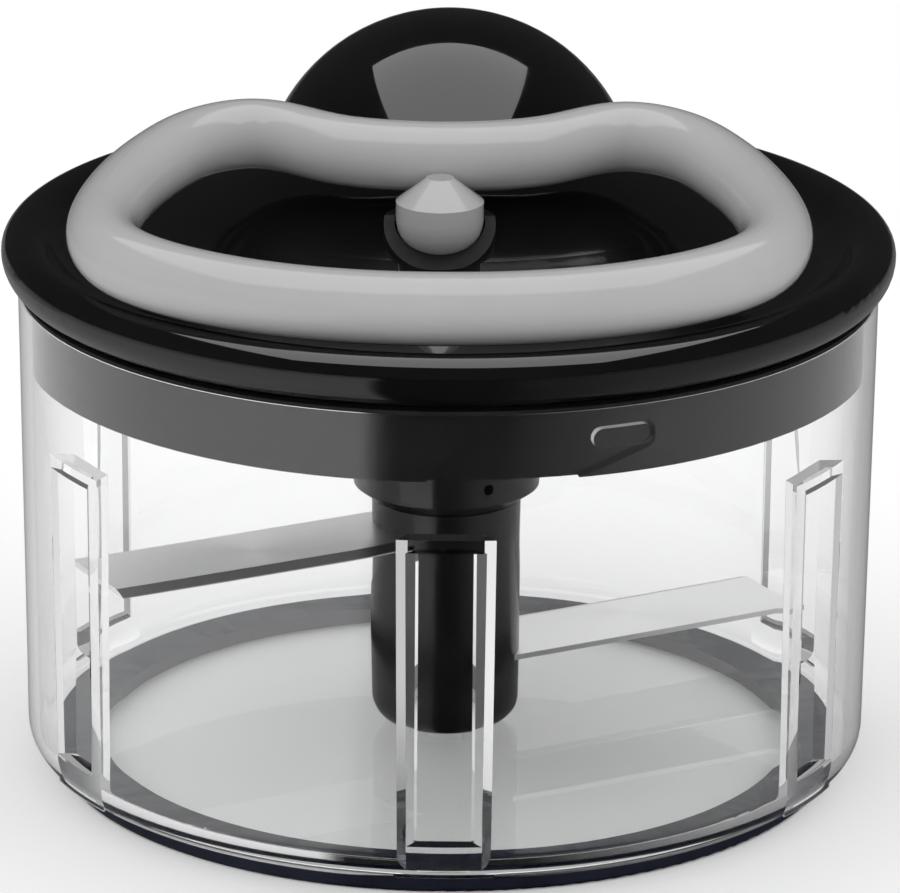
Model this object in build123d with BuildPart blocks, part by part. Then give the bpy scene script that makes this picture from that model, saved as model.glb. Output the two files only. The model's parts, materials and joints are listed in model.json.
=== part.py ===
"""Pull-cord hand chopper: clear bowl, bladed column, bayonet lid with reel, and loop handle.

Millimetres, +Z up. The origin is on the bowl's axis, on the surface that the foot ring stands on,
and the front of the chopper looks along -Y.
"""

from build123d import *
import os
from math import asin, atan, cos, radians, sin, sqrt, tan

# ---------------------------------------------------------------------------
# Driving dimensions
# ---------------------------------------------------------------------------

# Fits between pieces
slip_fit = 0.02  # radial, between pieces that are assembled and stay still
running_fit = 0.06  # radial, between a shaft or pin and its bearing
end_play = 0.2  # along the axis, between pieces that turn past each other
wall_gap = 0.35  # between the skirt and the bowl's wall
cut_margin = 1.0  # that a cut runs on past a face

# Bowl
bowl_foot_radius = 75.7  # outer radius of the wall, carried down to the table
bowl_flare = 0.0124  # outward lean of the wall, per unit of height
bowl_top = 88.9
bowl_wall = 2.0
bowl_underside = 3.0
floor_thickness = 2.6
bowl_corner_radius = 5.0
bowl_inner_corner_radius = 3.5
floor_boss_radius = 6.5
floor_boss_height = 6.0
floor_boss_gap = 0.6  # radial, between the boss and the column's foot

# Upright flutes pressed into the wall
flute_count = 6
flute_first_angle = -90.0
flute_depth = 3.0
flute_mouth_width = 13.4
flute_floor_width = 9.4
flute_top = 64.2
flute_bottom = 10.5
flute_wall = 1.9  # thickness behind the flute's floor
flute_side_wall = 1.7  # thickness beside the flute

# Foot ring
foot_width = 8.3
foot_edge_radius = 1.0

# Bayonet lugs inside the wall
lug_count = 3
lug_angle = -66.6
lug_length = 11.0
lug_height = 3.6
lug_reach = 1.4
lug_drop = 5.8  # of a lug's middle below the bowl's top
lug_clearance = 0.45
slot_corner_radius = 2.0

# Pivot pin
pin_radius = 3.0
pin_top = 34.0
pin_tip_radius = 1.2

# Blade unit
column_radius = 13.46
column_floor_gap = 0.9
column_foot_height = 11.4
column_height = 42.7
column_bottom_radius = 4.5
pivot_bush_wall = 2.0
pivot_bush_lift = 2.0  # above the floor's boss
blade_thickness = 1.0
blade_width = 20.0
blade_tip_gap = 1.73  # to the inside of a flute
blade_angle = 28.0
lower_blade_rise = 1.0  # above the column's joint
upper_blade_drop = 6.0  # below the column's top
bevel_width = 2.6
bevel_depth = 0.8
blade_root_gap = 1.36  # from the drive socket to a blade's root
socket_wall = 2.98  # outside the hexagon's corners
socket_lift = 2.0  # above the pin's top
socket_floor = 3.0
hex_across_flats = 8.0
hex_clearance = 0.25

# Lid
rim_overhang = 2.9  # beyond the bowl's wall
rim_upper_radius = 3.7
rim_lower_radius = 6.0
dish_drop = 4.2  # below the rim's crest
dish_run = 9.5  # from the crest in to the dish
shell_wall = 2.2
skirt_depth = 12.4  # below the bowl's top
skirt_wall = 3.0
skirt_edge_radius = 0.8
deck_lift = 0.5  # above the skirt's lower edge
deck_thickness = 2.0

# Palm dome and the slope in front of it
dome_radius = 35.0
dome_sink = 2.5  # of the dome's centre below the dish
slope_angle = 17.0
slope_foot = 66.0  # from the dome's axis, where the slope would meet the dish
slope_blend_radius = 60.0
crown_run = 4.35  # inward, of the crown's trim
crown_height = 5.0  # of the crown's trim above the rim
crown_bend_radius = 9.0

# Neck that reaches down to the column
neck_overlap = 3.34  # of the neck's radius over the column's
neck_gap = 0.4  # to the column's top
neck_chamfer = 2.2
neck_chamfer_run = 2.9
neck_wall = 2.3
neck_sole = 10.4
drain_hole_radius = 1.0
drain_hole_lift = 5.4  # above the neck's end
drain_hole_angle = -63.4

# Drive shaft, reel and spring
shaft_radius = 5.0
shaft_shoulder = 1.0
shaft_bush_wall = 2.0
spring_height = 3.4
spring_strip = 0.6
spring_half_turns = 11
spring_pitch = 3.2
reel_flange_radius = 31.0
reel_flange_thickness = 1.5
reel_hub_wall = 2.0
cord_diameter = 1.7
cord_layers = 2
drum_wall = 2.39
winding_height = 5.4
ratchet_teeth = 10
ratchet_wall = 2.6
ratchet_tooth = 1.1
pawl_count = 2
pawl_length = 3.4
pawl_width = 1.3
pawl_room = 2.2  # between the ratchet and the reel's hub
cover_thickness = 1.2
cover_edge = 4.5  # outside the circle of posts
cover_post_count = 3
cover_post_radius = 3.6
cover_post_gap = 2.9  # to the reel's flange
cover_peg_radius = 2.0
collar_height = 3.0

# Screws that hold the shell on the skirt
screw_inset = 11.3  # from the skirt's inner face
screw_angles = (-125.0, -55.0, 10.0, 170.0)
screw_shank_radius = 1.6
screw_head_radius = 3.2
screw_head_height = 1.2
screw_boss_radius = 4.2
screw_length = 13.0

# Seal
seal_thickness = 0.65
seal_width = 1.4
seal_play = 0.15  # between the seal and the rim

# Handle loop
handle_center_x = -1.6
handle_lift = 5.9  # of the grip's underside over the rim's crest, on the bowl's axis
handle_rise = 0.1075  # of the loop's plane, towards the back
grip_radius = 6.3
loop_side_inset = 17.6  # of the loop's side from the rim's crest
loop_front_inset = 9.8
loop_dome_gap = 3.044  # level, from the grip to the dome
nub_forward = 11.2  # of the nub from the back bar's middle
nub_drop = 7.7  # of the nub's centre below the loop's middle
nub_radius = 7.8
nub_shoulder = 3.0
nub_tip_radius = 2.45
nub_tip_height = 7.3
nub_parting = 2.8  # below the nub's centre
knot_radius = 2.1
knot_cavity_radius = 4.2
knot_cavity_depth = 7.0

# Cord outlet
outlet_wall = 1.8
outlet_seat_gap = 0.3
outlet_lip_angle = 31.0
outlet_lip_rise = 1.2
outlet_cord_clearance = 0.6

# Half of the loop's centreline, from the middle of the front bar to the middle of the back bar:
# shares of the loop's half width, and of the distance from the front bar to the back bar.
loop_half = [(0.0, 0.0), (0.274, 0.0163), (0.6507, 0.1098), (0.8134, 0.1914), (0.9521, 0.3175)]
loop_half += [(1.0, 0.4777), (0.9795, 0.6484), (0.9229, 0.8145), (0.8425, 0.9629), (0.7312, 1.092)]
loop_half += [(0.5702, 1.1513), (0.3339, 1.0549), (0.1541, 1.0104), (0.0, 1.0)]

# ---------------------------------------------------------------------------
# Derived dimensions
# ---------------------------------------------------------------------------

floor_top = bowl_underside + floor_thickness
floor_boss_top = floor_top + floor_boss_height


def wall_radius(height):
    """Outer radius of the bowl's wall at a height."""
    return bowl_foot_radius + bowl_flare * height


def polar(radius, angle):
    """Point of a circle about the bowl's axis."""
    return (radius * cos(radians(angle)), radius * sin(radians(angle)))


def radial_plane(radius, angle, height):
    """Plane that faces outward at a radius, with its local Y axis upright."""
    x, y = polar(radius, angle)
    out = (cos(radians(angle)), sin(radians(angle)), 0)
    side = (-sin(radians(angle)), cos(radians(angle)), 0)
    return Plane(origin=(x, y, height), x_dir=side, z_dir=out)


# Bowl and blade unit
foot_outer_radius = bowl_foot_radius - bowl_corner_radius  # as far as the underside is flat
foot_inner_radius = foot_outer_radius - foot_width
lug_center_height = bowl_top - lug_drop
column_bottom = floor_top + column_floor_gap
column_joint = column_bottom + column_foot_height
column_top = column_bottom + column_height
pivot_bush_bottom = floor_boss_top + pivot_bush_lift
lower_blade_height = column_joint + lower_blade_rise
upper_blade_height = column_top - upper_blade_drop
blade_tip_radius = wall_radius(lower_blade_height) - flute_depth - flute_wall - blade_tip_gap
socket_radius = hex_across_flats / sqrt(3) + socket_wall
socket_bottom = pin_top + socket_lift
shaft_hex_bottom = socket_bottom + socket_floor

# Lid
rim_bottom = bowl_top + seal_thickness + seal_play
rim_height = rim_bottom + rim_lower_radius  # where the rim is widest
rim_top = rim_height + rim_upper_radius
rim_radius = wall_radius(bowl_top) + rim_overhang
crest_radius = rim_radius - rim_upper_radius
sill_radius = rim_radius - rim_lower_radius
dish_height = rim_top - dish_drop
dish_radius = crest_radius - dish_run
shell_underside = dish_height - shell_wall
skirt_bottom = bowl_top - skirt_depth
skirt_radius = wall_radius(skirt_bottom) - bowl_wall - wall_gap
skirt_inner = skirt_radius - skirt_wall
deck_bottom = skirt_bottom + deck_lift
deck_top = deck_bottom + deck_thickness
dome_center_z = dish_height - dome_sink
neck_radius = column_radius + neck_overlap
neck_bottom = column_top + neck_gap
drain_hole_height = neck_bottom + drain_hole_lift
screw_circle = skirt_inner - screw_inset
screw_places = [polar(screw_circle, angle) for angle in screw_angles]
bayonet_rise = lug_center_height + lug_height / 2 + lug_clearance - skirt_bottom
bayonet_turn = 21.5  # degrees that the lid turns while it rises by bayonet_rise

# Reel
spring_bottom = deck_top + end_play
spring_top = spring_bottom + spring_height
flange_bottom = spring_top + end_play
drum_bottom = flange_bottom + reel_flange_thickness
drum_top = drum_bottom + winding_height + end_play
cover_bottom = drum_top + end_play
cover_top = cover_bottom + cover_thickness
outlet_bottom = cover_top + end_play / 2
shaft_journal_radius = shaft_radius - shaft_shoulder
shaft_bush_radius = shaft_radius + shaft_bush_wall
ratchet_radius = shaft_radius + ratchet_wall
hub_inner = ratchet_radius + pawl_room
reel_hub_radius = hub_inner + reel_hub_wall
cover_post_circle = reel_flange_radius + cover_post_gap + cover_post_radius
cover_radius = cover_post_circle + cover_edge
drum_radius = shaft_radius + running_fit + drum_wall
winding_radius = drum_radius + cord_layers * cord_diameter
nub_y = cord_diameter / 2 - winding_radius  # right over the cord's run onto the reel

# Handle
handle_height = rim_top + grip_radius + handle_lift  # of the loop's centreline on the bowl's axis
loop_half_width = crest_radius - loop_side_inset
loop_front = loop_front_inset - crest_radius
loop_back = nub_y + nub_forward
dome_reach = sqrt(dome_radius**2 - (handle_height - dome_center_z) ** 2)
dome_center_y = loop_back + grip_radius + loop_dome_gap + dome_reach
nub_height = handle_height - nub_drop
loop_plane = Plane(
    origin=(handle_center_x, 0, handle_height),
    x_dir=(1, 0, 0),
    z_dir=(0, -sin(atan(handle_rise)), cos(atan(handle_rise))),
)
nub_axis = Plane(origin=(handle_center_x, nub_y, 0))
parting_height = nub_height - nub_parting
seat_radius = nub_radius + outlet_seat_gap
outlet_radius = seat_radius + outlet_wall

os.makedirs("parts", exist_ok=True)


def save(piece, name):
    """Label a finished piece and write its STEP file."""
    piece.label = name
    export_step(piece, f"parts/{name}.step")


# ---------------------------------------------------------------------------
# Bowl
# ---------------------------------------------------------------------------


def flute_outline(depth, growth):
    """Corners of a flute's section, on the +X side, from the wall inward."""
    mouth = wall_radius(flute_bottom)
    slope = (flute_mouth_width - flute_floor_width) / 2 / flute_depth
    face = mouth - depth
    face_half = flute_floor_width / 2 + growth
    outside = mouth + flute_depth
    outside_half = face_half + slope * (outside - face)
    return [(face, -face_half), (outside, -outside_half), (outside, outside_half), (face, face_half)]


with BuildPart() as container:
    with BuildSketch(Plane.XZ):
        with BuildLine():
            corner = bowl_corner_radius
            outer_top = (wall_radius(bowl_top), bowl_top)
            outer_corner = (wall_radius(bowl_underside), bowl_underside)
            inner_top = (wall_radius(bowl_top) - bowl_wall, bowl_top)
            inner_corner = (wall_radius(floor_top) - bowl_wall, floor_top)
            FilletPolyline(outer_top, outer_corner, (0, bowl_underside), radius=corner)
            Line((0, bowl_underside), (0, floor_top))
            FilletPolyline((0, floor_top), inner_corner, inner_top, radius=bowl_inner_corner_radius)
            Line(inner_top, outer_top)
        make_face()
    revolve(axis=Axis.Z)
    # ridges inside the wall, one behind each flute
    with BuildSketch(Plane.XY.offset(floor_top - floor_thickness / 2)):
        with PolarLocations(0, flute_count, start_angle=flute_first_angle):
            Polygon(*flute_outline(flute_depth + flute_wall, flute_side_wall), align=None)
        Circle(wall_radius(flute_bottom) - bowl_wall / 2, mode=Mode.INTERSECT)
    extrude(amount=flute_top + flute_wall - floor_top + floor_thickness / 2)
    # grooves outside
    with BuildSketch(Plane.XY.offset(flute_bottom)):
        with PolarLocations(0, flute_count, start_angle=flute_first_angle):
            Polygon(*flute_outline(flute_depth, 0), align=None)
    extrude(amount=flute_top - flute_bottom, mode=Mode.SUBTRACT)
    # boss for the pivot pin
    with BuildSketch(Plane.XY.offset(floor_top)):
        Circle(floor_boss_radius)
    extrude(amount=floor_boss_height)
    with BuildSketch(Plane.XY.offset(bowl_underside + floor_thickness / 2)):
        Circle(pin_radius + slip_fit)
    extrude(amount=floor_thickness + floor_boss_height, mode=Mode.SUBTRACT)
    # bayonet lugs
    for i in range(lug_count):
        lug_face = wall_radius(lug_center_height) - bowl_wall - lug_reach
        angle = lug_angle + 360 / lug_count * i
        with BuildSketch(radial_plane(lug_face, angle, lug_center_height)):
            SlotOverall(lug_length, lug_height)
        extrude(amount=lug_reach + bowl_wall / 2)
save(container.part, "container")

with BuildPart() as base_ring:
    with BuildSketch():
        Circle(foot_outer_radius)
        Circle(foot_inner_radius, mode=Mode.SUBTRACT)
    extrude(amount=bowl_underside)
    foot_edges = base_ring.edges().filter_by(GeomType.CIRCLE).group_by(Axis.Z)[0]
    fillet(foot_edges, radius=foot_edge_radius)
save(base_ring.part, "base_ring")

with BuildPart() as pivot_pin:
    with BuildSketch(Plane.XY.offset(bowl_underside + floor_thickness / 2)):
        Circle(pin_radius)
    extrude(amount=pin_top - bowl_underside - floor_thickness / 2)
    fillet(pivot_pin.edges().group_by(Axis.Z)[-1], radius=pin_tip_radius)
save(pivot_pin.part, "pivot_pin")

# ---------------------------------------------------------------------------
# Blade unit
# ---------------------------------------------------------------------------

bush_inner = pin_radius + running_fit
bush_outer = bush_inner + pivot_bush_wall
blade_root = socket_radius + blade_root_gap
blade_reach = sqrt(blade_tip_radius**2 - (blade_width / 2) ** 2)
lower_blade_seat = (lower_blade_height, blade_angle)
upper_blade_seat = (upper_blade_height, blade_angle + 180)
blade_seats = (lower_blade_seat, upper_blade_seat)


def blade_frame(height, angle):
    """Plane of a blade's underside, with its local X axis out along the blade."""
    return Plane(
        origin=(0, 0, height),
        x_dir=(cos(radians(angle)), sin(radians(angle)), 0),
        z_dir=(0, 0, 1),
    )


with BuildPart() as column_foot:
    with BuildSketch(Plane.XY.offset(column_bottom)):
        Circle(column_radius)
    extrude(amount=column_joint - column_bottom)
    fillet(column_foot.edges().group_by(Axis.Z)[0], radius=column_bottom_radius)
    with BuildSketch(Plane.XY.offset(column_bottom)):
        Circle(floor_boss_radius + floor_boss_gap)
    extrude(amount=floor_boss_top + end_play - column_bottom, mode=Mode.SUBTRACT)
    with BuildSketch(Plane.XY.offset(column_bottom)):
        Circle(bush_outer + slip_fit)
    extrude(amount=column_joint - column_bottom, mode=Mode.SUBTRACT)
save(column_foot.part, "column_foot")

with BuildPart() as blade_column:
    with BuildSketch(Plane.XY.offset(column_joint)):
        Circle(column_radius)
    extrude(amount=column_top - column_joint)
    with BuildSketch(Plane.XY.offset(column_joint)):
        Circle(bush_outer + slip_fit)
    extrude(amount=pin_top + end_play / 2 - column_joint, mode=Mode.SUBTRACT)
    with BuildSketch(Plane.XY.offset(socket_bottom)):
        Circle(socket_radius + slip_fit)
    extrude(amount=column_top - socket_bottom, mode=Mode.SUBTRACT)
    # slots that the blades' roots sit in
    for height, angle in blade_seats:
        with BuildSketch(blade_frame(height - slip_fit, angle)):
            with Locations((blade_root - slip_fit, 0)):
                Rectangle(column_radius, blade_width + 2 * slip_fit, align=(Align.MIN, Align.CENTER))
        extrude(amount=blade_thickness + 2 * slip_fit, mode=Mode.SUBTRACT)
save(blade_column.part, "blade_column")

with BuildPart() as pivot_bush:
    with BuildSketch(Plane.XY.offset(pivot_bush_bottom)):
        Circle(bush_outer)
        Circle(bush_inner, mode=Mode.SUBTRACT)
    extrude(amount=pin_top - pivot_bush_bottom)
save(pivot_bush.part, "pivot_bush")

with BuildPart() as drive_socket:
    with BuildSketch(Plane.XY.offset(socket_bottom)):
        Circle(socket_radius)
    extrude(amount=column_top - socket_bottom)
    with BuildSketch(Plane.XY.offset(shaft_hex_bottom - end_play)):
        RegularPolygon(hex_across_flats / 2 + hex_clearance, 6, major_radius=False)
    extrude(amount=column_top - shaft_hex_bottom + end_play, mode=Mode.SUBTRACT)
save(drive_socket.part, "drive_socket")


def blade(height, angle):
    """Flat blade with a straight tip, ground along the edge that leads as the column turns."""
    with BuildPart() as strip:
        with BuildSketch(blade_frame(height, angle)):
            with Locations((blade_root, 0)):
                Rectangle(blade_reach - blade_root, blade_width, align=(Align.MIN, Align.CENTER))
        extrude(amount=blade_thickness)
        lead = Vector(-sin(radians(angle)), cos(radians(angle)), 0)
        edges = strip.edges().group_by(Axis.Z)[-1]
        edge = edges.sort_by(lambda e: e.center().dot(lead))[-1]
        top = strip.faces().sort_by(Axis.Z)[-1]
        chamfer(edge, length=bevel_width, length2=bevel_depth, reference=top)
    return strip.part


upper_blade = blade(*upper_blade_seat)
save(upper_blade, "upper_blade")
lower_blade = blade(*lower_blade_seat)
save(lower_blade, "lower_blade")

# ---------------------------------------------------------------------------
# Lid: seal, shell, skirt
# ---------------------------------------------------------------------------

with BuildPart() as lid_seal:
    with BuildSketch(Plane.XY.offset(bowl_top)):
        middle = wall_radius(bowl_top) - bowl_wall / 2
        Circle(middle + seal_width / 2)
        Circle(middle - seal_width / 2, mode=Mode.SUBTRACT)
    extrude(amount=seal_thickness)
save(lid_seal.part, "lid_seal")


def crest_to_dish():
    """Two tangent arcs from the rim's crest down to the dish: their ends and middles."""
    run = crest_radius - dish_radius
    drop = rim_top - dish_height
    bend = (run**2 + drop**2) / (4 * drop)
    half = asin(run / 2 / bend) / 2
    across = bend * sin(half)
    down = bend * (1 - cos(half))
    first = (crest_radius - across, rim_top - down)
    last = (dish_radius + across, dish_height + down)
    middle = ((crest_radius + dish_radius) / 2, (rim_top + dish_height) / 2)
    return first, middle, last


with BuildPart() as slope_form:
    # dome and slope turn about the dome's own axis
    with BuildSketch(Plane.XZ.offset(-dome_center_y)):
        with BuildLine():
            high = dish_height + slope_foot * tan(radians(slope_angle))
            outside = rim_radius + dome_center_y
            Line((0, shell_underside), (0, high))
            FilletPolyline((0, high), (slope_foot, dish_height), (outside, dish_height),
                           radius=slope_blend_radius)
            Line((outside, dish_height), (outside, shell_underside))
            Line((outside, shell_underside), (0, shell_underside))
        make_face()
    revolve(axis=Axis((0, dome_center_y, 0), (0, 0, 1)))
    # trimmed to the rim
    with BuildSketch(Plane.XZ):
        trim = rim_radius - rim_upper_radius / 2
        shoulder = trim - crown_run
        crown_top = rim_top + crown_height
        with BuildLine():
            Polyline((0, shell_underside), (trim, shell_underside), (trim, rim_top))
            RadiusArc((trim, rim_top), (shoulder, crown_top), -crown_bend_radius)
            Polyline((shoulder, crown_top), (0, crown_top), (0, shell_underside))
        make_face()
    revolve(axis=Axis.Z, mode=Mode.INTERSECT)

with BuildPart() as shell_cavity:
    with BuildSketch(Plane.XZ.offset(-dome_center_y)):
        with BuildLine():
            drop = shell_wall / cos(radians(slope_angle))
            inner_high = high - drop
            inner_foot_run = slope_foot - (drop - shell_wall) / tan(radians(slope_angle))
            Line((0, shell_underside), (0, inner_high))
            Line((0, inner_high), (inner_foot_run, shell_underside))
            Line((inner_foot_run, shell_underside), (0, shell_underside))
        make_face()
    revolve(axis=Axis((0, dome_center_y, 0), (0, 0, 1)))
    with BuildSketch(Plane.XY.offset(shell_underside)):
        Circle(skirt_inner - shell_wall)
    extrude(amount=rim_top - shell_underside, mode=Mode.INTERSECT)
    with BuildSketch(Plane.XY.offset(rim_bottom)):
        Circle(skirt_inner)
    extrude(amount=shell_underside - rim_bottom)
    with BuildSketch(Plane.XY.offset(rim_bottom)):
        with Locations(*screw_places):
            Circle(screw_boss_radius)
    extrude(amount=dome_radius * 2, mode=Mode.SUBTRACT)

with BuildPart() as dome_cavity:
    with Locations((0, dome_center_y, dome_center_z)):
        Sphere(dome_radius - shell_wall)
    with BuildSketch(Plane.XY.offset(shell_underside)):
        Circle(skirt_inner)
    extrude(amount=dome_radius * 2, mode=Mode.INTERSECT)
    with BuildSketch(Plane.XY.offset(rim_bottom)):
        with Locations(*screw_places):
            Circle(screw_boss_radius)
    extrude(amount=dome_radius * 2, mode=Mode.SUBTRACT)

with BuildPart() as lid_top_shell:
    with BuildSketch(Plane.XZ):
        first_bend, bend_middle, last_bend = crest_to_dish()
        with BuildLine():
            Line((0, rim_bottom), (sill_radius, rim_bottom))
            RadiusArc((sill_radius, rim_bottom), (rim_radius, rim_height), -rim_lower_radius)
            RadiusArc((rim_radius, rim_height), (crest_radius, rim_top), -rim_upper_radius)
            ThreePointArc((crest_radius, rim_top), first_bend, bend_middle)
            ThreePointArc(bend_middle, last_bend, (dish_radius, dish_height))
            Polyline((dish_radius, dish_height), (0, dish_height), (0, rim_bottom))
        make_face()
    revolve(axis=Axis.Z)
    add(slope_form.part)
    with Locations((0, dome_center_y, dome_center_z)):
        Sphere(dome_radius)
    # the dome's ball is cut off under the dish
    with BuildSketch(Plane.XY.offset(rim_bottom)):
        Circle(rim_radius * 2)
    extrude(amount=-dome_radius * 2, mode=Mode.SUBTRACT)
    add(shell_cavity.part, mode=Mode.SUBTRACT)
    add(dome_cavity.part, mode=Mode.SUBTRACT)
    # bosses for the screws
    with BuildSketch(Plane.XY.offset(deck_top)):
        with Locations(*screw_places):
            Circle(screw_boss_radius)
    extrude(amount=rim_bottom - deck_top)
    with BuildSketch(Plane.XY.offset(deck_top)):
        with Locations(*screw_places):
            Circle(screw_shank_radius + slip_fit)
    extrude(amount=screw_length, mode=Mode.SUBTRACT)
    # hole for the cord outlet
    with BuildSketch(nub_axis.offset(rim_bottom)):
        Circle(outlet_radius + slip_fit)
    extrude(amount=rim_top + dome_radius - rim_bottom, mode=Mode.SUBTRACT)
save(lid_top_shell.part, "lid_top_shell")

# Path of a lug in the skirt, unrolled: it runs back and down as the lid turns and rises.
lug_path_radius = wall_radius(lug_center_height) - bowl_wall - lug_reach
lug_run = radians(bayonet_turn) * skirt_radius
slot_half_length = lug_length / 2 + lug_clearance
slot_half_height = lug_height / 2 + lug_clearance
slot_middle_angle = lug_angle - bayonet_turn / 2
slot_depth = skirt_radius - lug_path_radius + lug_clearance

with BuildPart() as bayonet_slots:
    for i in range(lug_count):
        angle = slot_middle_angle + 360 / lug_count * i
        slot_plane = radial_plane(skirt_inner - cut_margin, angle, lug_center_height)
        with BuildSketch(slot_plane) as slot_outline:
            rest_x = lug_run / 2
            exit_x = -lug_run / 2
            Polygon(
                (rest_x + slot_half_length, slot_half_height),
                (exit_x + slot_half_length - lug_height, slot_half_height),
                (exit_x - slot_half_length, slot_half_height - bayonet_rise),
                (exit_x - slot_half_length, -slot_half_height - bayonet_rise),
                (exit_x + slot_half_length, -slot_half_height - bayonet_rise),
                (rest_x + slot_half_length, -slot_half_height),
                align=None,
            )
            fillet(slot_outline.vertices(), radius=min(slot_corner_radius, 0.9 * slot_half_height))
        extrude(amount=skirt_wall + 2 * cut_margin)
    with BuildSketch(Plane.XY.offset(skirt_bottom - lug_height)):
        Circle(rim_radius)
        Circle(skirt_radius - slot_depth, mode=Mode.SUBTRACT)
    extrude(amount=rim_bottom - skirt_bottom + lug_height, mode=Mode.INTERSECT)

with BuildPart() as lid_skirt:
    with BuildSketch(Plane.XZ):
        neck_inner = neck_radius - neck_wall
        with BuildLine():
            Polyline(
                (neck_inner, deck_top),
                (skirt_inner, deck_top),
                (skirt_inner, rim_bottom),
                (sill_radius, rim_bottom),
                (skirt_radius, rim_bottom - skirt_edge_radius),
                (skirt_radius, skirt_bottom),
                (skirt_inner, skirt_bottom),
                (skirt_inner, deck_bottom),
                (neck_radius, deck_bottom),
                (neck_radius, neck_bottom + neck_chamfer),
                (neck_radius - neck_chamfer_run, neck_bottom),
                (shaft_bush_radius + slip_fit, neck_bottom),
                (shaft_bush_radius + slip_fit, neck_bottom + neck_sole),
                (neck_inner, neck_bottom + neck_sole),
                (neck_inner, deck_top),
            )
        make_face()
    revolve(axis=Axis.Z)
    # posts for the reel cover, with a peg on each
    with BuildSketch(Plane.XY.offset(deck_top)):
        with PolarLocations(cover_post_circle, cover_post_count):
            Circle(cover_post_radius)
    extrude(amount=cover_bottom - deck_top)
    with BuildSketch(Plane.XY.offset(cover_bottom)):
        with PolarLocations(cover_post_circle, cover_post_count):
            Circle(cover_peg_radius)
    extrude(amount=cover_thickness)
    # holes for the screws
    with BuildSketch(Plane.XY.offset(deck_bottom)):
        with Locations(*screw_places):
            Circle(screw_shank_radius + running_fit)
    extrude(amount=deck_thickness, mode=Mode.SUBTRACT)
    with BuildSketch(Plane.XY.offset(deck_bottom)):
        with Locations(*screw_places):
            Circle(screw_head_radius + end_play)
    extrude(amount=screw_head_height, mode=Mode.SUBTRACT)
    # drain hole in the neck
    with BuildSketch(radial_plane(neck_inner - cut_margin, drain_hole_angle, drain_hole_height)):
        Circle(drain_hole_radius)
    extrude(amount=neck_wall + 2 * cut_margin, mode=Mode.SUBTRACT)
    add(bayonet_slots.part, mode=Mode.SUBTRACT)
save(lid_skirt.part, "lid_skirt")

with BuildPart() as lid_screws:
    with BuildSketch(Plane.XY.offset(deck_bottom)):
        with Locations(*screw_places):
            Circle(screw_head_radius)
    extrude(amount=screw_head_height)
    with BuildSketch(Plane.XY.offset(deck_bottom)):
        with Locations(*screw_places):
            Circle(screw_shank_radius)
    extrude(amount=screw_length)
save(lid_screws.part, "lid_screws")

with BuildPart() as shaft_bush:
    with BuildSketch(Plane.XY.offset(neck_bottom + end_play)):
        Circle(shaft_bush_radius)
        Circle(shaft_radius + running_fit, mode=Mode.SUBTRACT)
    extrude(amount=neck_sole - end_play)
save(shaft_bush.part, "shaft_bush")

with BuildPart() as reel_cover:
    with BuildSketch(Plane.XY.offset(cover_bottom)):
        Circle(cover_radius)
        with PolarLocations(cover_post_circle, cover_post_count):
            Circle(cover_peg_radius + slip_fit, mode=Mode.SUBTRACT)
        Circle(shaft_journal_radius + running_fit, mode=Mode.SUBTRACT)
        with Locations((handle_center_x, nub_y)):
            Circle(cord_diameter / 2 + outlet_cord_clearance, mode=Mode.SUBTRACT)
    extrude(amount=cover_thickness)
save(reel_cover.part, "reel_cover")

# ---------------------------------------------------------------------------
# Reel, spring, clutch and drive shaft
# ---------------------------------------------------------------------------

with BuildPart() as cord_reel:
    with BuildSketch(Plane.XY.offset(flange_bottom)):
        Circle(reel_flange_radius)
    extrude(amount=reel_flange_thickness)
    with BuildSketch(Plane.XY.offset(flange_bottom)):
        Circle(drum_radius)
    extrude(amount=drum_top - flange_bottom)
    with BuildSketch(Plane.XY.offset(spring_bottom)):
        Circle(reel_hub_radius)
        Circle(hub_inner, mode=Mode.SUBTRACT)
    extrude(amount=flange_bottom - spring_bottom)
    with BuildSketch(Plane.XY.offset(flange_bottom)):
        Circle(shaft_radius + running_fit)
    extrude(amount=drum_top - flange_bottom, mode=Mode.SUBTRACT)
save(cord_reel.part, "cord_reel")

with BuildPart() as cord_winding:
    with BuildSketch(Plane.XY.offset(drum_bottom)):
        Circle(winding_radius)
        Circle(drum_radius + slip_fit, mode=Mode.SUBTRACT)
    extrude(amount=winding_height)
save(cord_winding.part, "cord_winding")

with BuildPart() as spiral_spring:
    with BuildSketch(Plane.XY.offset(spring_bottom)):
        with BuildLine():
            # half turns about two centres that lie half a step apart
            step = spring_pitch / 2
            inner_start = reel_hub_radius + running_fit
            for side in (0, spring_strip):
                start_x = inner_start + side
                for turn in range(spring_half_turns):
                    way = 1 if turn % 2 == 0 else -1
                    end_x = -way * (abs(start_x) + step)
                    crown = (abs(start_x) + abs(end_x)) / 2
                    ThreePointArc((start_x, 0), ((start_x + end_x) / 2, way * crown), (end_x, 0))
                    start_x = end_x
                if side == 0:
                    inner_end = start_x
            Line((inner_start, 0), (inner_start + spring_strip, 0))
            Line((inner_end, 0), (start_x, 0))
        make_face()
    extrude(amount=spring_height)
save(spiral_spring.part, "spiral_spring")

with BuildPart() as ratchet_wheel:
    with BuildSketch(Plane.XY.offset(spring_bottom)):
        step_angle = 360 / ratchet_teeth
        outline = []
        for i in range(ratchet_teeth):
            outline.append(polar(ratchet_radius, i * step_angle))
            outline.append(polar(ratchet_radius - ratchet_tooth, i * step_angle))
        Polygon(*outline, align=None)
        Circle(shaft_radius + slip_fit, mode=Mode.SUBTRACT)
    extrude(amount=spring_height - end_play)
save(ratchet_wheel.part, "ratchet_wheel")

with BuildPart() as clutch_pawls:
    with BuildSketch(Plane.XY.offset(spring_bottom)):
        with PolarLocations((ratchet_radius + hub_inner) / 2, pawl_count):
            Rectangle(pawl_width, pawl_length)
    extrude(amount=flange_bottom - spring_bottom)
save(clutch_pawls.part, "clutch_pawls")

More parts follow.
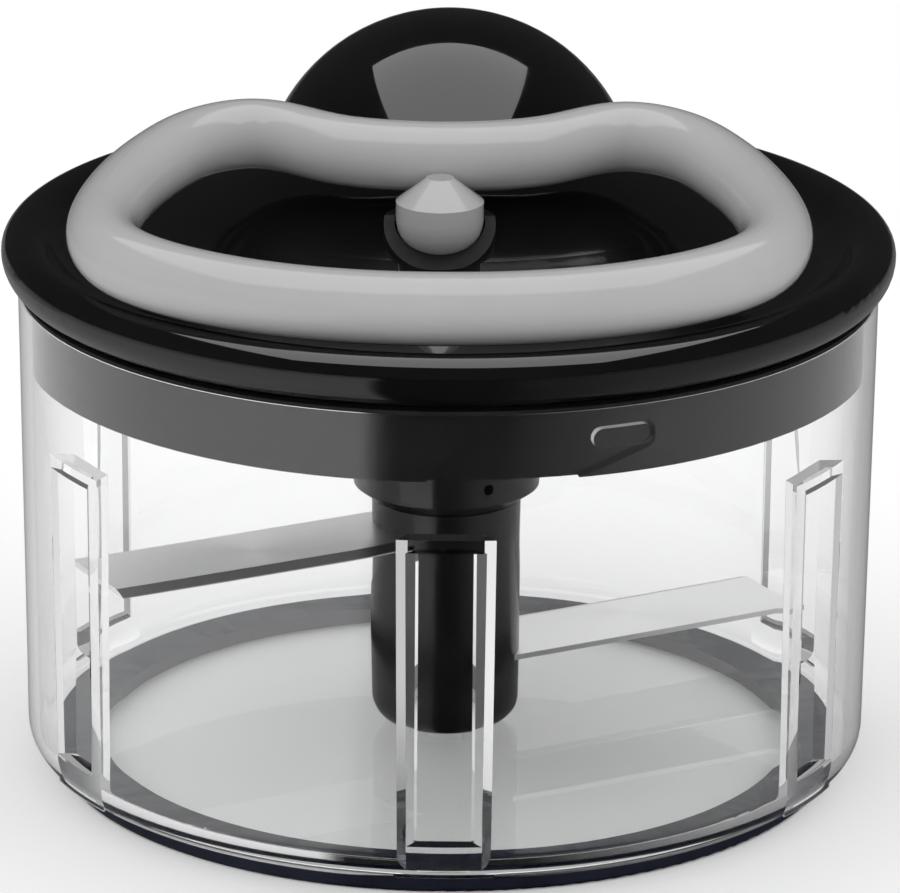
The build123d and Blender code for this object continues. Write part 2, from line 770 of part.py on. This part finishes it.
with BuildPart() as drive_shaft:
    with BuildSketch(Plane.XY.offset(shaft_hex_bottom)):
        RegularPolygon(hex_across_flats / 2, 6, major_radius=False)
    extrude(amount=neck_bottom - shaft_hex_bottom)
    with BuildSketch(Plane.XY.offset(neck_bottom)):
        Circle(shaft_radius)
    extrude(amount=drum_top - neck_bottom)
    with BuildSketch(Plane.XY.offset(drum_top)):
        Circle(shaft_journal_radius)
    extrude(amount=cover_top - drum_top)
save(drive_shaft.part, "drive_shaft")

with BuildPart() as shaft_collar:
    with BuildSketch(Plane.XY.offset(neck_bottom + neck_sole + end_play)):
        Circle(shaft_bush_radius)
        Circle(shaft_radius + slip_fit, mode=Mode.SUBTRACT)
    extrude(amount=collar_height)
save(shaft_collar.part, "shaft_collar")

# ---------------------------------------------------------------------------
# Cord outlet, cord and handle
# ---------------------------------------------------------------------------

with BuildPart() as cord_outlet:
    with BuildSketch(nub_axis.offset(outlet_bottom)):
        Circle(outlet_radius)
    extrude(amount=nub_height - end_play - outlet_bottom)
    with Locations((handle_center_x, nub_y, nub_height)):
        Sphere(seat_radius, mode=Mode.SUBTRACT)
    with BuildSketch(nub_axis.offset(outlet_bottom)):
        Circle(cord_diameter / 2 + outlet_cord_clearance)
    extrude(amount=nub_height - outlet_bottom, mode=Mode.SUBTRACT)
    # the lip follows the slope of the lid
    lip_plane = Plane(
        origin=(handle_center_x, nub_y, nub_height - outlet_lip_rise),
        x_dir=(1, 0, 0),
        z_dir=(0, -sin(radians(outlet_lip_angle)), cos(radians(outlet_lip_angle))),
    )
    split(bisect_by=lip_plane, keep=Keep.BOTTOM)
save(cord_outlet.part, "cord_outlet")

with BuildPart() as nub_form:
    with BuildSketch(Plane(origin=(handle_center_x, nub_y, 0), x_dir=(1, 0, 0), z_dir=(0, -1, 0))):
        with BuildLine():
            low = nub_height
            Line((0, low - nub_radius), (0, low + nub_tip_height))
            Polyline(
                (0, low + nub_tip_height),
                (nub_tip_radius, low + nub_tip_height),
                (nub_radius, low + nub_shoulder),
                (nub_radius, low),
            )
            RadiusArc((nub_radius, low), (0, low - nub_radius), nub_radius)
        make_face()
    revolve(axis=Axis((handle_center_x, nub_y, 0), (0, 0, 1)))
    split(bisect_by=Plane.XY.offset(parting_height), keep=Keep.TOP)

lean = cos(atan(handle_rise))
depth = loop_back - loop_front
right_side = [(x * loop_half_width, (loop_front + y * depth) / lean) for x, y in loop_half]
left_side = [(-x, y) for x, y in reversed(right_side[1:-1])]

with BuildPart() as handle_loop:
    with BuildLine(loop_plane) as centreline:
        Spline(*right_side, *left_side, periodic=True)
    loop_line = centreline.edges()[0]
    with BuildSketch(Plane(origin=loop_line @ 0, x_dir=loop_plane.z_dir, z_dir=loop_line % 0)):
        Circle(grip_radius)
    sweep(path=loop_line)
    add(nub_form.part)
    with BuildSketch(nub_axis.offset(parting_height)):
        Circle(knot_cavity_radius)
    extrude(amount=knot_cavity_depth, mode=Mode.SUBTRACT)
save(handle_loop.part, "handle_loop")

plug_spigot = knot_cavity_depth / 2 - knot_radius / 2

with BuildPart() as cord_plug:
    with Locations((handle_center_x, nub_y, nub_height)):
        Sphere(nub_radius)
    split(bisect_by=Plane.XY.offset(parting_height), keep=Keep.BOTTOM)
    with BuildSketch(nub_axis.offset(parting_height - slip_fit)):
        Circle(knot_cavity_radius - slip_fit)
    extrude(amount=plug_spigot + slip_fit)
    with BuildSketch(nub_axis.offset(nub_height - nub_radius - cut_margin)):
        Circle(cord_diameter / 2 + slip_fit)
    extrude(amount=nub_radius * 2, mode=Mode.SUBTRACT)
save(cord_plug.part, "cord_plug")

knot_height = parting_height + plug_spigot + knot_radius

with BuildPart() as pull_cord:
    with BuildSketch(nub_axis.offset(drum_bottom + winding_height + end_play / 2)):
        Circle(cord_diameter / 2)
    extrude(amount=knot_height - drum_bottom - winding_height - end_play / 2)
    with Locations((handle_center_x, nub_y, knot_height)):
        Sphere(knot_radius)
save(pull_cord.part, "pull_cord")
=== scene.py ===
"""Looks of a pull-cord food chopper: clear bowl, blades, black lid and grey loop handle."""

import json
from math import asin, cos, pi, radians, sin

import bmesh
import bpy
from mathutils import Matrix, Vector


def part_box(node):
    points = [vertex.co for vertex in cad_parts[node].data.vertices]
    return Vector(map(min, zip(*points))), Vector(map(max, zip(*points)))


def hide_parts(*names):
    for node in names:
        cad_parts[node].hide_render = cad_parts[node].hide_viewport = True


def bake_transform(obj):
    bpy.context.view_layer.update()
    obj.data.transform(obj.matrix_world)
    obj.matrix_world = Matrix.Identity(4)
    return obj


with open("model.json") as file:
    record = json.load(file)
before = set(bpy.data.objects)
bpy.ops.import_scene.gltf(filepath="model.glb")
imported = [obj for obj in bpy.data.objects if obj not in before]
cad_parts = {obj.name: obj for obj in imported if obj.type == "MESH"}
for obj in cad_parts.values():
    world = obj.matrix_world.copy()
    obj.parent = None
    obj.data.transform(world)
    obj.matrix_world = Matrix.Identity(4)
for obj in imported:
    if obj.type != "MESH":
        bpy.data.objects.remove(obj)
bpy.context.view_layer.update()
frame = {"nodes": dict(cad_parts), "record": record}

MM = 0.001

# ---------------------------------------------------------------------------
# Camera
# ---------------------------------------------------------------------------

VIEW_DISTANCE = 1.243
VIEW_ELEVATION = radians(18.42)
VIEW_ROLL = radians(0.46)
VIEW_LENS = 276.2
VIEW_SHIFT = (0.0032, -0.0127)
SENSOR_WIDTH = 36.0
FAR_CLIP = 20.0
TARGET = Vector((0, 0, 0.06))

cam_data = bpy.data.cameras.new("camera")
cam_data.lens = VIEW_LENS
cam_data.sensor_width = SENSOR_WIDTH
cam_data.shift_x, cam_data.shift_y = VIEW_SHIFT
cam_data.clip_end = FAR_CLIP
camera = bpy.data.objects.new("camera", cam_data)
bpy.context.scene.collection.objects.link(camera)
back = Vector((0, -cos(VIEW_ELEVATION), sin(VIEW_ELEVATION)))
camera.location = TARGET + back * VIEW_DISTANCE
facing = back.to_track_quat("Z", "Y").to_matrix().to_4x4()
camera.rotation_euler = (facing @ Matrix.Rotation(VIEW_ROLL, 4, "Z")).to_euler()
bpy.context.scene.camera = camera

# ---------------------------------------------------------------------------
# Material helpers
# ---------------------------------------------------------------------------

# a noise texture's values lie mostly between these
NOISE_LOW = 0.3
NOISE_HIGH = 0.7


def math_node(tree, operation, *terms):
    """Math node on sockets or numbers; its result socket."""
    node = tree.nodes.new("ShaderNodeMath")
    node.operation = operation
    for socket, term in zip(node.inputs, terms):
        if isinstance(term, float):
            socket.default_value = term
        else:
            tree.links.new(term, socket)
    return node.outputs[0]


class Nodes:
    """A material's node tree with its Principled shader."""

    def __init__(self, name, **sockets):
        self.material = bpy.data.materials.new(name)
        self.material.use_nodes = True
        self.tree = self.material.node_tree
        self.shader = self.tree.nodes["Principled BSDF"]
        for socket, value in sockets.items():
            self.shader.inputs[socket.replace("_", " ")].default_value = value

    def add(self, kind, **values):
        """Node with these settings; a name that is no setting is an input."""
        node = self.tree.nodes.new(kind)
        for key, value in values.items():
            if hasattr(node, key):
                setattr(node, key, value)
            else:
                node.inputs[key.replace("_", " ")].default_value = value
        return node

    def link(self, source, target):
        self.tree.links.new(source, target)

    def place(self, scale=(1, 1, 1), turn=0.0):
        """Object coordinates, scaled and turned about Z."""
        coords = self.add("ShaderNodeTexCoord")
        mapping = self.add("ShaderNodeMapping")
        mapping.inputs["Scale"].default_value = scale
        mapping.inputs["Rotation"].default_value = (0, 0, turn)
        self.link(coords.outputs["Object"], mapping.inputs["Vector"])
        return mapping.outputs["Vector"]

    def noise(self, vector, scale, detail=3.0, rough=0.5):
        node = self.add("ShaderNodeTexNoise", Scale=scale, Detail=detail, Roughness=rough)
        self.link(vector, node.inputs["Vector"])
        return node.outputs["Fac"]

    def math(self, operation, *terms):
        return math_node(self.tree, operation, *terms)

    def blend(self, fac, first, second):
        """Mix of two shaders' sockets; its result socket."""
        node = self.add("ShaderNodeMixShader")
        for source, target in zip((fac, first, second), node.inputs):
            self.link(source, target)
        return node.outputs[0]

    def surface(self, source):
        self.link(source, self.tree.nodes["Material Output"].inputs["Surface"])

    def ramp(self, fac, stops):
        """Colour ramp; each stop is (place, colour) with a grey or RGB colour."""
        node = self.add("ShaderNodeValToRGB")
        elements = node.color_ramp.elements
        while len(elements) < len(stops):
            elements.new(0.5)
        for element, (place, colour) in zip(elements, stops):
            element.position = place
            rgb = (colour,) * 3 if isinstance(colour, float) else colour
            element.color = (*rgb, 1)
        self.link(fac, node.inputs["Fac"])
        return node.outputs["Color"]

    def spread(self, fac, low, high):
        """A noise's values stretched to low..high."""
        node = self.add("ShaderNodeMapRange")
        node.inputs["From Min"].default_value = NOISE_LOW
        node.inputs["From Max"].default_value = NOISE_HIGH
        node.inputs["To Min"].default_value = low
        node.inputs["To Max"].default_value = high
        self.link(fac, node.inputs["Value"])
        return node.outputs["Result"]

    def bump(self, height, strength, distance):
        node = self.add("ShaderNodeBump", Strength=strength, Distance=distance)
        self.link(height, node.inputs["Height"])
        return node.outputs["Normal"]

    def set(self, socket, source):
        self.link(source, self.shader.inputs[socket])

    def tint(self, noise, low, high):
        """Base colour from low to high over a noise."""
        self.set("Base Color", self.ramp(noise, [(NOISE_LOW, low), (NOISE_HIGH, high)]))


# ---------------------------------------------------------------------------
# Materials
# ---------------------------------------------------------------------------

# Each roughness range stays clear of 0.27: ranges across it left dark flecks in the render.


def black_gloss():
    m = Nodes("lid_black_gloss", Coat_Weight=1.0, Coat_Roughness=0.02, Coat_IOR=1.7, IOR=1.5)
    at = m.place()
    m.tint(m.noise(at, 35.0), 0.0025, 0.0045)
    m.set("Roughness", m.spread(m.noise(at, 220.0, 4.0), 0.05, 0.11))
    return m.material


def dark_satin():
    m = Nodes("skirt_dark_grey", IOR=1.5)
    at = m.place()
    m.tint(m.noise(at, 30.0), 0.008, 0.011)
    m.set("Roughness", m.spread(m.noise(at, 200.0, 4.0), 0.12, 0.19))
    return m.material


def column_black():
    m = Nodes("column_black", IOR=1.5)
    at = m.place()
    m.tint(m.noise(at, 80.0), 0.003, 0.0045)
    m.set("Roughness", m.spread(m.noise(at, 500.0, 3.0), 0.16, 0.23))
    return m.material


def grey_gloss():
    m = Nodes("handle_grey_gloss", IOR=1.48, Coat_Weight=0.7, Coat_Roughness=0.03)
    at = m.place()
    m.tint(m.noise(at, 45.0), (0.375, 0.372, 0.373), (0.395, 0.392, 0.393))
    m.set("Roughness", m.spread(m.noise(at, 300.0, 4.0), 0.14, 0.20))
    return m.material


def clear_plastic():
    m = Nodes("bowl_clear", IOR=1.5, Roughness=0.0, Transmission_Weight=1.0)
    at = m.place()
    m.tint(m.noise(at, 25.0), (0.99, 0.992, 0.992), (0.998, 0.999, 0.999))
    # Lamps and scattered light pass straight through, so the bowl lights up inside as thin
    # plastic does, and light that has been mirrored once comes straight out of a wall.
    paths = m.add("ShaderNodeLightPath").outputs
    soft = m.math("MAXIMUM", paths["Is Shadow Ray"], paths["Is Diffuse Ray"])
    straight = m.math("MAXIMUM", soft, m.math("GREATER_THAN", paths["Glossy Depth"], 0.5))
    window = m.add("ShaderNodeBsdfTransparent", Color=(0.995, 0.997, 0.997, 1))
    m.surface(m.blend(straight, m.shader.outputs[0], window.outputs[0]))
    return m.material


def navy_rubber():
    m = Nodes("foot_navy", IOR=1.4)
    at = m.place()
    m.tint(m.noise(at, 90.0), (0.006, 0.007, 0.016), (0.010, 0.012, 0.026))
    m.set("Roughness", m.spread(m.noise(at, 500.0, 3.0), 0.30, 0.45))
    return m.material


def steel(name, turn):
    """Steel brushed along a direction, turned from X by an angle."""
    m = Nodes(name, Metallic=1.0, Anisotropic=0.3)
    along = m.place((60, 2500, 2500), -turn)
    m.set("Base Color", m.ramp(m.noise(along, 1.0, 4.0), [(0.25, 0.80), (0.75, 0.84)]))
    m.set("Roughness", m.spread(m.noise(along, 1.0, 5.0), 0.285, 0.34))
    return m.material


def plain_plastic(name, low, high, rough=(0.35, 0.5)):
    m = Nodes(name, IOR=1.48)
    at = m.place()
    m.tint(m.noise(at, 70.0), low, high)
    m.set("Roughness", m.spread(m.noise(at, 400.0, 3.0), *rough))
    return m.material


def bronze():
    m = Nodes("bush_bronze", Metallic=1.0)
    at = m.place()
    m.tint(m.noise(at, 900.0), (0.45, 0.30, 0.14), (0.62, 0.44, 0.22))
    m.set("Roughness", m.spread(m.noise(at, 600.0), 0.35, 0.5))
    return m.material


def braid():
    m = Nodes("cord_braid", IOR=1.45, Roughness=0.75, Sheen_Weight=0.3)
    wave = m.add(
        "ShaderNodeTexWave", bands_direction="Z", Scale=900.0, Distortion=2.0, Detail=2.0
    )
    m.link(m.place(), wave.inputs["Vector"])
    strands = [(0.2, (0.42, 0.42, 0.41)), (0.8, (0.68, 0.68, 0.66))]
    m.set("Base Color", m.ramp(wave.outputs["Fac"], strands))
    m.set("Normal", m.bump(wave.outputs["Fac"], 0.5, 0.0001))
    return m.material


BLADE_TURN = radians(28)

MATERIALS = {
    "clear_plastic": clear_plastic(),
    "navy_rubber": navy_rubber(),
    "black_gloss": black_gloss(),
    "dark_grey_plastic": dark_satin(),
    "grey_gloss": grey_gloss(),
    "black_satin": column_black(),
    "blade_steel": steel("blade_steel", BLADE_TURN),
    "pin_steel": steel("pin_steel", 0.0),
    "bronze": bronze(),
    "white_plastic": plain_plastic("inner_white", 0.60, 0.72),
    "cord_fibre": braid(),
    "seal_rubber": plain_plastic("seal_rubber", 0.008, 0.014, (0.5, 0.65)),
}

# the outlet's funnel is the lid's black with a duller face
NODE_LOOKS = {"cord_outlet": plain_plastic("outlet_black", 0.003, 0.005, (0.5, 0.6))}

slot_of = {entry["node"]: entry["material_slot"] for entry in frame["record"]["subparts"]}
for name, node in frame["nodes"].items():
    node.data.materials.clear()
    node.data.materials.append(NODE_LOOKS.get(name, MATERIALS[slot_of[name]]))

# ---------------------------------------------------------------------------
# Pull cord, drawn out of the lid by the handle
# ---------------------------------------------------------------------------

CORD_RADIUS = 0.85 * MM
CORD_SIDES = 20
CORD_RINGS = 90
KNOT_RADIUS = 2.05 * MM
KNOT_STEPS = 14
KNOT_END = 0.97 * pi  # polar angle at which the knot's top closes flat
KNOT_WAIST = 0.05

cord_low, cord_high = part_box("pull_cord")
cord_x = (cord_low.x + cord_high.x) / 2
cord_y = (cord_low.y + cord_high.y) / 2
knot_z = cord_high.z - KNOT_RADIUS


def ring(bm, radius, z):
    """Ring of the cord's vertices at a height."""
    made = []
    for side in range(CORD_SIDES):
        a = 2 * pi * side / CORD_SIDES
        made.append(bm.verts.new((cord_x + radius * cos(a), cord_y + radius * sin(a), z)))
    return made


def skin(bm, lower, upper):
    """Faces between two rings."""
    for side in range(CORD_SIDES):
        after = (side + 1) % CORD_SIDES
        bm.faces.new((lower[side], lower[after], upper[after], upper[side]))


bm = bmesh.new()
rings = [ring(bm, CORD_RADIUS, cord_low.z)]
first_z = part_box("cord_outlet")[0].z
last_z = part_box("cord_plug")[0].z
for i in range(CORD_RINGS + 1):
    rings.append(ring(bm, CORD_RADIUS, first_z + (last_z - first_z) * i / CORD_RINGS))
start_angle = asin(CORD_RADIUS / KNOT_RADIUS)
for i in range(KNOT_STEPS + 1):
    a = start_angle + (KNOT_END - start_angle) * i / KNOT_STEPS
    waist = 1 - KNOT_WAIST * (1 - cos(4 * a)) / 2
    rings.append(ring(bm, KNOT_RADIUS * sin(a) * waist, knot_z - KNOT_RADIUS * cos(a)))
for lower, upper in zip(rings, rings[1:]):
    skin(bm, lower, upper)
bm.faces.new(list(reversed(rings[0])))
bm.faces.new(rings[-1])
for face in bm.faces:
    face.smooth = True
cord_mesh = bpy.data.meshes.new("pull_cord_braided")
bm.to_mesh(cord_mesh)
bm.free()
cord = bpy.data.objects.new("pull_cord_braided", cord_mesh)
bpy.context.scene.collection.objects.link(cord)
cord_mesh.materials.append(MATERIALS["cord_fibre"])
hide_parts("pull_cord")
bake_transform(cord)

# ---------------------------------------------------------------------------
# Floor, world and lamps
# ---------------------------------------------------------------------------

FLOOR_HALF = 3.0
WHITE_FROM = 0.16  # metres from the object's axis where the floor starts to turn white
WHITE_BY = 0.60
# painted reflection: the tones in which the floor shows in what shines off the object, by
# degrees around the object's axis from the front; they stand in for lights at the left and
# right and a dark front
PAINTED_REFLECTION_TONES = [
    (-180, 0.30), (-90, 0.75), (-40, 0.95), (-18, 0.95), (-15, 0.02),
    (12, 0.02), (45, 0.35), (90, 0.50), (180, 0.30),
]


def floor_pale():
    """Pale floor; in what shines off the object it shows painted reflection tones, light at
    the sides and dark in front, and far off it turns white.
    """
    m = Nodes("floor_pale", Roughness=0.45, IOR=1.3)
    at = m.place()
    m.tint(m.noise(at, 8.0), 0.92, 0.94)
    parts = m.add("ShaderNodeSeparateXYZ")
    m.link(at, parts.inputs["Vector"])
    front = m.math("MULTIPLY", parts.outputs["Y"], -1.0)
    azimuth = m.add("ShaderNodeMapRange")
    azimuth.inputs["From Min"].default_value = -pi
    azimuth.inputs["From Max"].default_value = pi
    m.link(m.math("ARCTAN2", parts.outputs["X"], front), azimuth.inputs["Value"])
    stops = [((angle + 180) / 360, tone) for angle, tone in PAINTED_REFLECTION_TONES]
    # painted reflection: a diffuse sheet in the listed tones, seen only by rays that shine
    # off the object
    mirrored = m.add("ShaderNodeBsdfDiffuse")
    m.link(m.ramp(azimuth.outputs["Result"], stops), mirrored.inputs["Color"])

    paths = m.add("ShaderNodeLightPath").outputs
    shines = m.math("SUBTRACT", paths["Is Glossy Ray"], paths["Is Transmission Ray"])
    shines.node.use_clamp = True
    near = m.blend(shines, m.shader.outputs[0], mirrored.outputs[0])

    reach = m.add("ShaderNodeVectorMath", operation="LENGTH")
    m.link(at, reach.inputs[0])
    far = m.add("ShaderNodeMapRange", interpolation_type="SMOOTHSTEP")
    far.inputs["From Min"].default_value = WHITE_FROM
    far.inputs["From Max"].default_value = WHITE_BY
    m.link(reach.outputs["Value"], far.inputs["Value"])
    seen = m.math("MULTIPLY", far.outputs["Result"], paths["Is Camera Ray"])
    white = m.add("ShaderNodeEmission", Strength=1.0)
    m.surface(m.blend(seen, near, white.outputs[0]))
    return m.material


floor_mesh = bpy.data.meshes.new("floor")
corners = [
    (x * FLOOR_HALF, y * FLOOR_HALF, 0) for x, y in ((-1, -1), (1, -1), (1, 1), (-1, 1))
]
floor_mesh.from_pydata(corners, [], [(0, 1, 2, 3)])
floor = bpy.data.objects.new("floor", floor_mesh)
bpy.context.scene.collection.objects.link(floor)
floor_mesh.materials.append(floor_pale())

# side light is strong near the horizon and weak overhead, where the soft box hangs
HORIZON_LIGHT = 1.48
OVERHEAD_LIGHT = 0.20
# the sines of the elevations between which one gives way to the other
SIDE_END = 0.60
OVERHEAD_START = 0.85
# what shines: off the outside, off rough things inside the bowl, off the bowl's own plastic
OUTSIDE_TONE = 0.02
INSIDE_TONE = 0.88
PLASTIC_TONE = 0.42

world = bpy.data.worlds.new("studio")
bpy.context.scene.world = world
world.use_nodes = True
tree = world.node_tree
paths = tree.nodes.new("ShaderNodeLightPath").outputs


def world_mix(factor, first, second):
    """Mix of two colours, each a grey or a socket; its result socket."""
    node = tree.nodes.new("ShaderNodeMix")
    node.data_type = "RGBA"
    tree.links.new(factor, node.inputs["Factor"])
    for socket, value in (("A", first), ("B", second)):
        if isinstance(value, float):
            node.inputs[socket].default_value = (value, value, value, 1)
        else:
            tree.links.new(value, node.inputs[socket])
    return node.outputs["Result"]


direction = tree.nodes.new("ShaderNodeTexCoord")
parts = tree.nodes.new("ShaderNodeSeparateXYZ")
tree.links.new(direction.outputs["Generated"], parts.inputs["Vector"])
height = tree.nodes.new("ShaderNodeMapRange")
height.interpolation_type = "SMOOTHSTEP"
height.inputs["From Min"].default_value = SIDE_END
height.inputs["From Max"].default_value = OVERHEAD_START
tree.links.new(parts.outputs["Z"], height.inputs["Value"])
side_light = world_mix(height.outputs["Result"], HORIZON_LIGHT, OVERHEAD_LIGHT)

# the backdrop shows white to the eye and through the bowl, and another tone to what shines
unshone = math_node(tree, "LESS_THAN", paths["Glossy Depth"], 0.5)
through = math_node(tree, "MULTIPLY", paths["Is Transmission Ray"], unshone)
shown = math_node(tree, "MAXIMUM", paths["Is Camera Ray"], through)
shone = math_node(tree, "GREATER_THAN", paths["Glossy Depth"], 0.5)
outside = math_node(tree, "LESS_THAN", paths["Transmission Depth"], 0.5)
inside = world_mix(paths["Is Singular Ray"], INSIDE_TONE, PLASTIC_TONE)
mirrored = world_mix(outside, inside, OUTSIDE_TONE)
lit = world_mix(shown, side_light, 1.0)
backdrop = world_mix(shone, lit, mirrored)
tree.links.new(backdrop, tree.nodes["Background"].inputs["Color"])

# soft box that hangs over the object and faces straight down
SOFTBOX_PLACE = Vector((0, 0.05, 1.35))
SOFTBOX_AIM = Vector((0, 0.05, 0))
SOFTBOX_SIZE = (1.7, 1.6)
SOFTBOX_POWER = 10.0

softbox = bpy.data.lights.new("softbox_top", "AREA")
softbox.shape = "RECTANGLE"
softbox.size, softbox.size_y = SOFTBOX_SIZE
softbox.energy = SOFTBOX_POWER
softbox_object = bpy.data.objects.new("softbox_top", softbox)
bpy.context.scene.collection.objects.link(softbox_object)
softbox_object.location = SOFTBOX_PLACE
away = SOFTBOX_PLACE - SOFTBOX_AIM
softbox_object.rotation_euler = away.to_track_quat("Z", "Y").to_euler()

# ---------------------------------------------------------------------------
# End
# ---------------------------------------------------------------------------

bpy.context.scene.view_settings.view_transform = "Standard"
